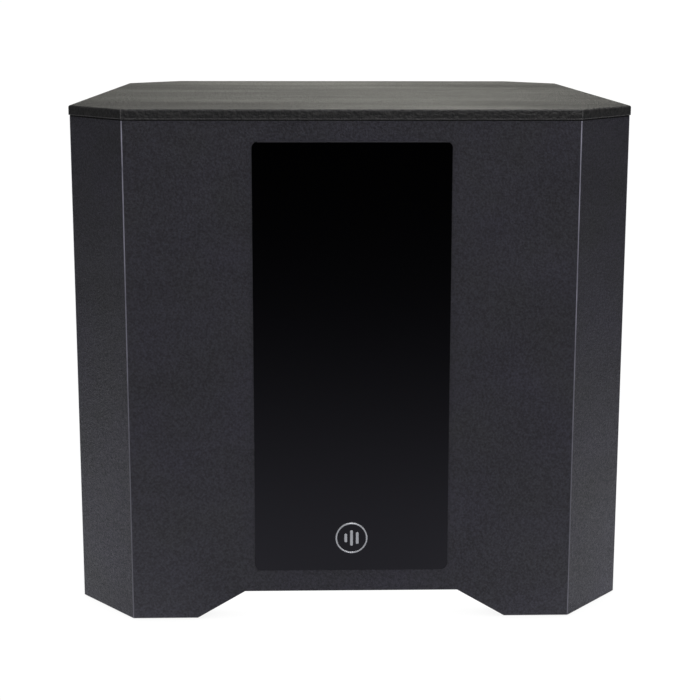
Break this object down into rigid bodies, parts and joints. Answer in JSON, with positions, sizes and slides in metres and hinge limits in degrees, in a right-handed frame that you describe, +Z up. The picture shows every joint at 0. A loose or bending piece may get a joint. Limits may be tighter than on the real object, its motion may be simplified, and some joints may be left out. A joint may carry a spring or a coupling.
{
  "type": "subwoofer cabinet",
  "caption": "Squat octagonal subwoofer box with a gloss black front panel, a down-firing woofer over arched feet, and a rear amplifier plate with a vent.",
  "frame": {"origin": "on the floor, under the middle of the whole object's box, from the badge on the front to the knobs on the back", "axes": "+Z up; the gloss front panel faces -Y and the amplifier plate +Y; +X is to the right seen from the front"},
  "size_m": [0.3516, 0.3688, 0.323],
  "materials": {
    "vinyl_mdf": "black grained vinyl over fibreboard",
    "lid_laminate": "black grained laminate over fibreboard",
    "mdf": "black painted fibreboard",
    "cleat_wood": "bare softwood",
    "gloss_acrylic": "gloss black acrylic",
    "badge_metal": "brushed",
    "felt": "felt",
    "wadding": "polyester wadding",
    "black_steel": "black",
    "foam_rubber": "foam strip",
    "rubber": "matt butyl",
    "cone_paper": "coated paper pulp",
    "spider_cloth": "resin-treated cloth",
    "former_aluminium": "thin foil",
    "copper": "enamelled wire",
    "zinc_steel": "zinc plated",
    "ferrite": "sintered ferrite",
    "terminal_fibre": "laminated fibre with tinned tags",
    "black_plastic": "moulded",
    "powder_steel": "black powder coat",
    "anodised_aluminium": "black anodised",
    "circuit_fibre": "glass-fibre board",
    "brass": "plated",
    "capacitor_sleeve": "sleeved can",
    "transformer_tape": "copper winding under tape",
    "fuse_glass": "clear",
    "rocker_plastic": "gloss",
    "red_plastic": "moulded",
    "nickel": "nickel plated",
    "led_lens": "diffused lens",
    "wire_sleeve": "flexible sleeve"
  },
  "bodies": {
    "cabinet": {"top_lid": "lid_laminate", "top_board": "mdf", "front_panel": "vinyl_mdf", "back_panel": "vinyl_mdf", "left_panel": "vinyl_mdf", "right_panel": "vinyl_mdf", "corner_panel_front_left": "vinyl_mdf", "corner_panel_front_right": "vinyl_mdf", "corner_panel_back_left": "vinyl_mdf", "corner_panel_back_right": "vinyl_mdf", "bottom_board": "mdf", "corner_cleats": "cleat_wood", "front_fascia": "gloss_acrylic", "badge": "badge_metal", "foot_pads": "felt", "damping_wadding": "wadding", "driver_basket": "black_steel", "driver_gasket": "foam_rubber", "magnet_top_plate": "zinc_steel", "magnet_ring": "ferrite", "pole_yoke": "zinc_steel", "driver_terminals": "terminal_fibre", "driver_screws": "black_steel", "port_tube": "black_plastic", "amp_plate": "powder_steel", "amp_gasket": "foam_rubber", "amp_screws": "black_steel", "heatsink": "anodised_aluminium", "circuit_board": "circuit_fibre", "board_standoffs": "brass", "filter_capacitors": "capacitor_sleeve", "toroid_transformer": "transformer_tape", "toroid_bolt": "zinc_steel", "mains_inlet": "black_plastic", "inlet_pins": "brass", "fuse_holder": "black_plastic", "power_switch_body": "black_plastic", "voltage_switch_body": "black_plastic", "phase_switch_body": "black_plastic", "volume_pot": "zinc_steel", "crossover_pot": "zinc_steel", "rca_block": "black_plastic", "rca_shells": "nickel", "power_led": "led_lens", "driver_wires": "wire_sleeve"},
    "cone": {"cone": "cone_paper", "dust_cap": "cone_paper", "surround": "rubber", "spider": "spider_cloth", "voice_coil_former": "former_aluminium", "voice_coil_winding": "copper"},
    "volume_control": {"volume_shaft": "zinc_steel", "volume_knob": "black_plastic"},
    "crossover_control": {"crossover_shaft": "zinc_steel", "crossover_knob": "black_plastic"},
    "phase_switch": {"phase_slider": "black_plastic"},
    "voltage_switch": {"voltage_slider": "red_plastic"},
    "power_switch": {"power_rocker": "rocker_plastic"},
    "fuse_carrier": {"fuse_cap": "black_plastic", "fuse": "fuse_glass"}
  },
  "joints": [
    {"name": "cone_travel", "type": "slide", "parent": "cabinet", "child": "cone", "axis": [0, 0, 1], "range_m": [-0.008, 0.008], "stiffness_N_per_m": 1250, "deforming": ["surround", "spider"]},
    {"name": "volume_turn", "type": "hinge", "parent": "cabinet", "child": "volume_control", "pos_m": [0.068, 0.1764, 0.19], "axis": [0, -1, 0], "range_deg": [-150, 150]},
    {"name": "crossover_turn", "type": "hinge", "parent": "cabinet", "child": "crossover_control", "pos_m": [0.022, 0.1764, 0.19], "axis": [0, -1, 0], "range_deg": [-150, 150]},
    {"name": "phase_slide", "type": "slide", "parent": "cabinet", "child": "phase_switch", "axis": [1, 0, 0], "range_m": [0, 0.004]},
    {"name": "voltage_slide", "type": "slide", "parent": "cabinet", "child": "voltage_switch", "axis": [1, 0, 0], "range_m": [0, 0.006]},
    {"name": "power_rock", "type": "hinge", "parent": "cabinet", "child": "power_switch", "pos_m": [-0.014, 0.1684, 0.084], "axis": [1, 0, 0], "range_deg": [0, 20]},
    {"name": "fuse_out", "type": "slide", "parent": "cabinet", "child": "fuse_carrier", "axis": [0, 1, 0], "range_m": [0, 0.04]}
  ]
}
